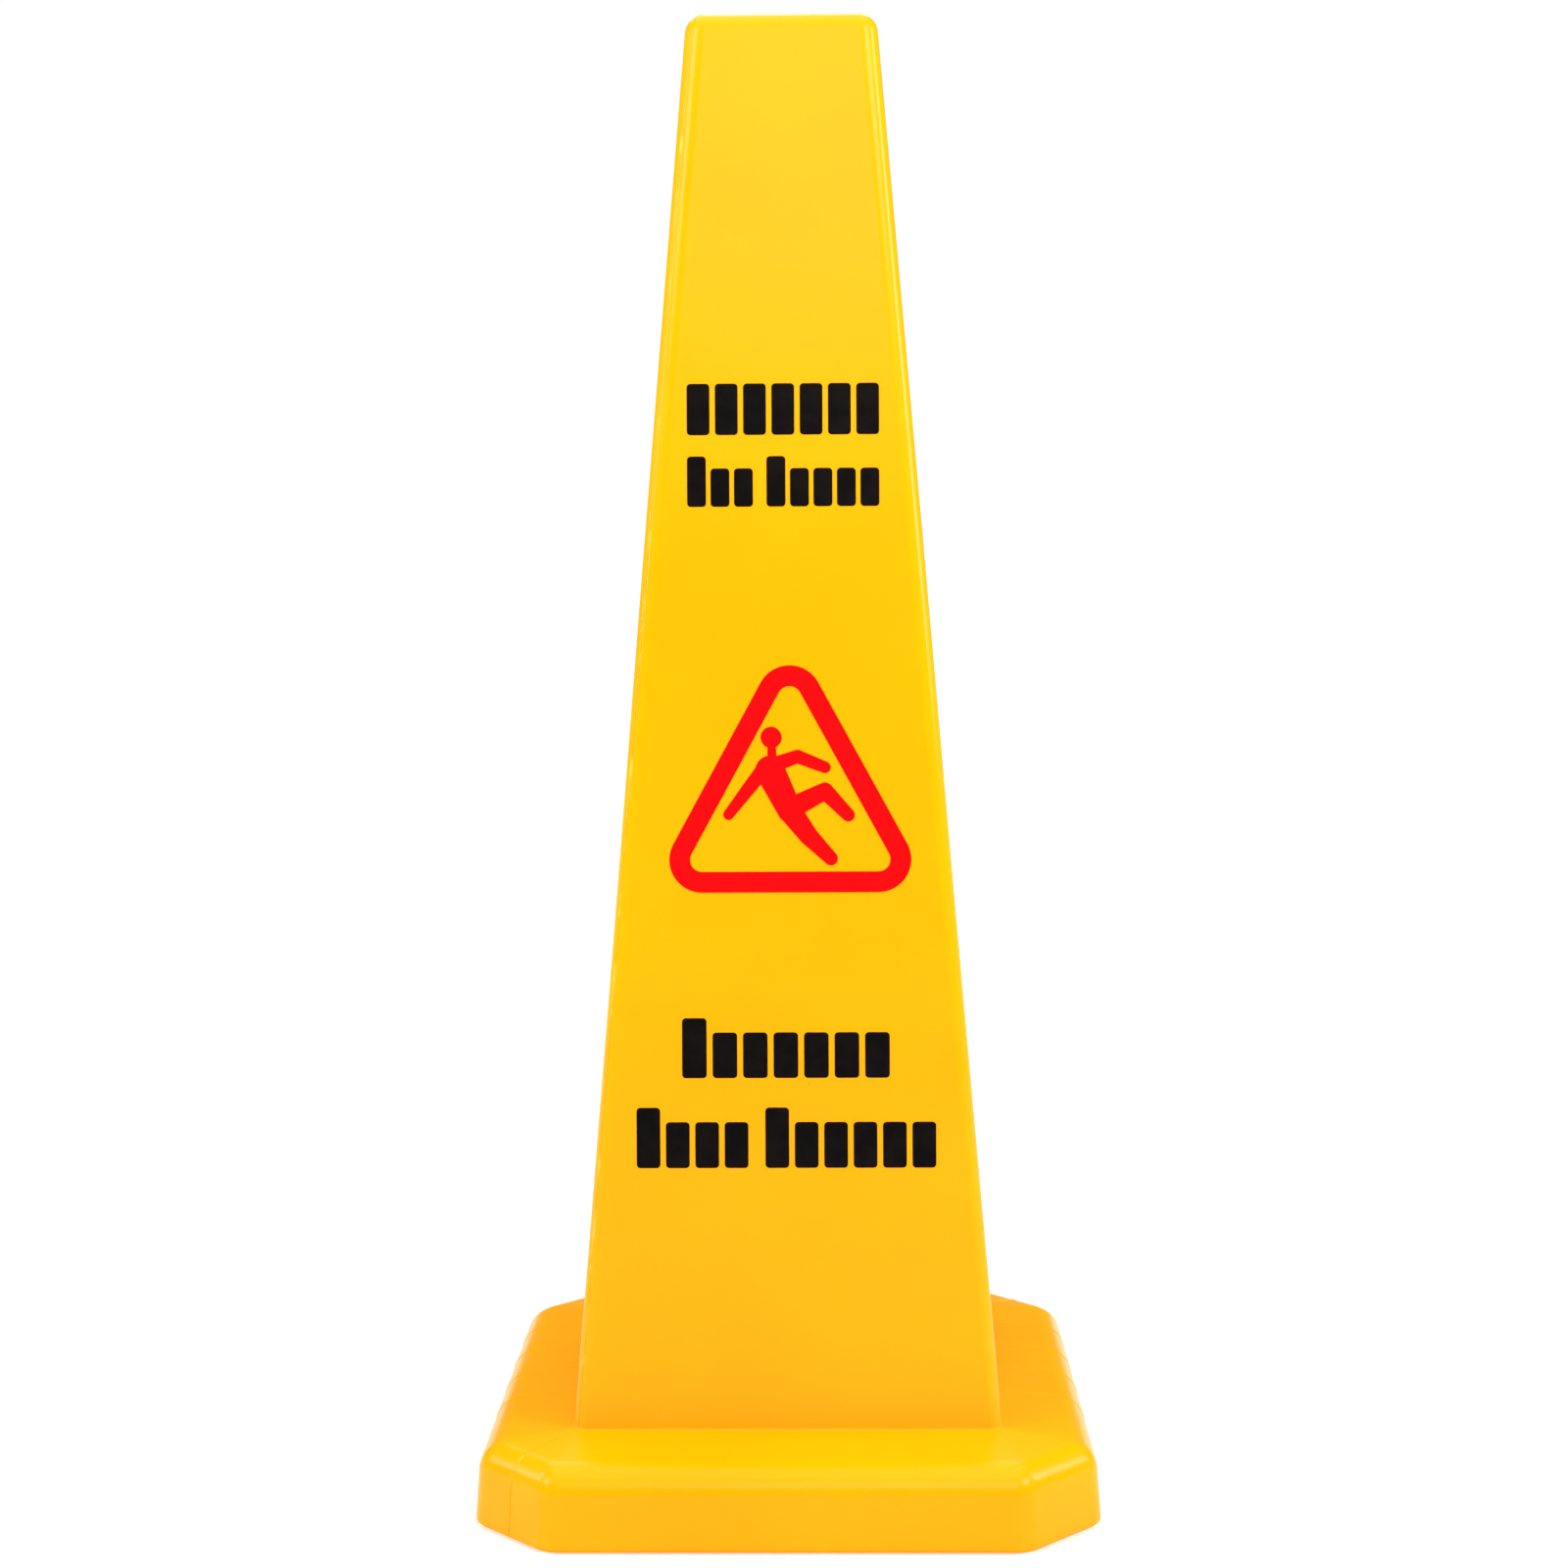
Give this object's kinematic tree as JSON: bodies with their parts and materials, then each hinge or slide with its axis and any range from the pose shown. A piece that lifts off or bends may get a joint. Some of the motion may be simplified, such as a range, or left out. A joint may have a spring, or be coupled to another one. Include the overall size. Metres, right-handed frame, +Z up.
{
  "type": "wet floor sign",
  "caption": "Tall hollow four-sided plastic floor sign that tapers from a wide ballasted base with cut corners to a small flat top, with printed marks on each face.",
  "frame": {"origin": "centre of the standing face at the bottom of the base, on the floor", "axes": "+Z up along the pyramid's axis, the front face looks towards -Y, +X is to the right of someone who reads the front face"},
  "size_m": [0.2864, 0.2864, 0.686],
  "materials": {
    "yellow_plastic": "satin",
    "grey_plastic": "satin",
    "liner_rubber": "matte",
    "sand": "matte",
    "black_ink": "satin",
    "red_ink": "satin"
  },
  "bodies": {
    "sign": {"sign_shell": "yellow_plastic", "sand_ballast": "sand", "front_upper_line_1": "black_ink", "front_upper_line_2": "black_ink", "front_lower_line_1": "black_ink", "front_lower_line_2": "black_ink", "front_triangle_border": "red_ink", "front_slip_figure": "red_ink", "right_upper_line_1": "black_ink", "right_upper_line_2": "black_ink", "right_lower_line_1": "black_ink", "right_lower_line_2": "black_ink", "right_triangle_border": "red_ink", "right_slip_figure": "red_ink", "back_upper_line_1": "black_ink", "back_upper_line_2": "black_ink", "back_lower_line_1": "black_ink", "back_lower_line_2": "black_ink", "back_triangle_border": "red_ink", "back_slip_figure": "red_ink", "left_upper_line_1": "black_ink", "left_upper_line_2": "black_ink", "left_lower_line_1": "black_ink", "left_lower_line_2": "black_ink", "left_triangle_border": "red_ink", "left_slip_figure": "red_ink"},
    "liner": {"cap_liner": "liner_rubber"},
    "cap": {"fill_cap": "grey_plastic"}
  },
  "joints": [
    {"name": "cap_lift", "type": "slide", "parent": "sign", "child": "liner", "axis": [0, 0, -1], "range_m": [0, 0.0301]},
    {"name": "cap_turn", "type": "hinge", "parent": "liner", "child": "cap", "pos_m": [0, 0, 0.0166], "axis": [0, 0, -1], "range_deg": [0, 2160]}
  ],
  "couplings": [
    {"joint": "cap_lift", "follows": "cap_turn", "m_per_rad": 0.00079577}
  ]
}
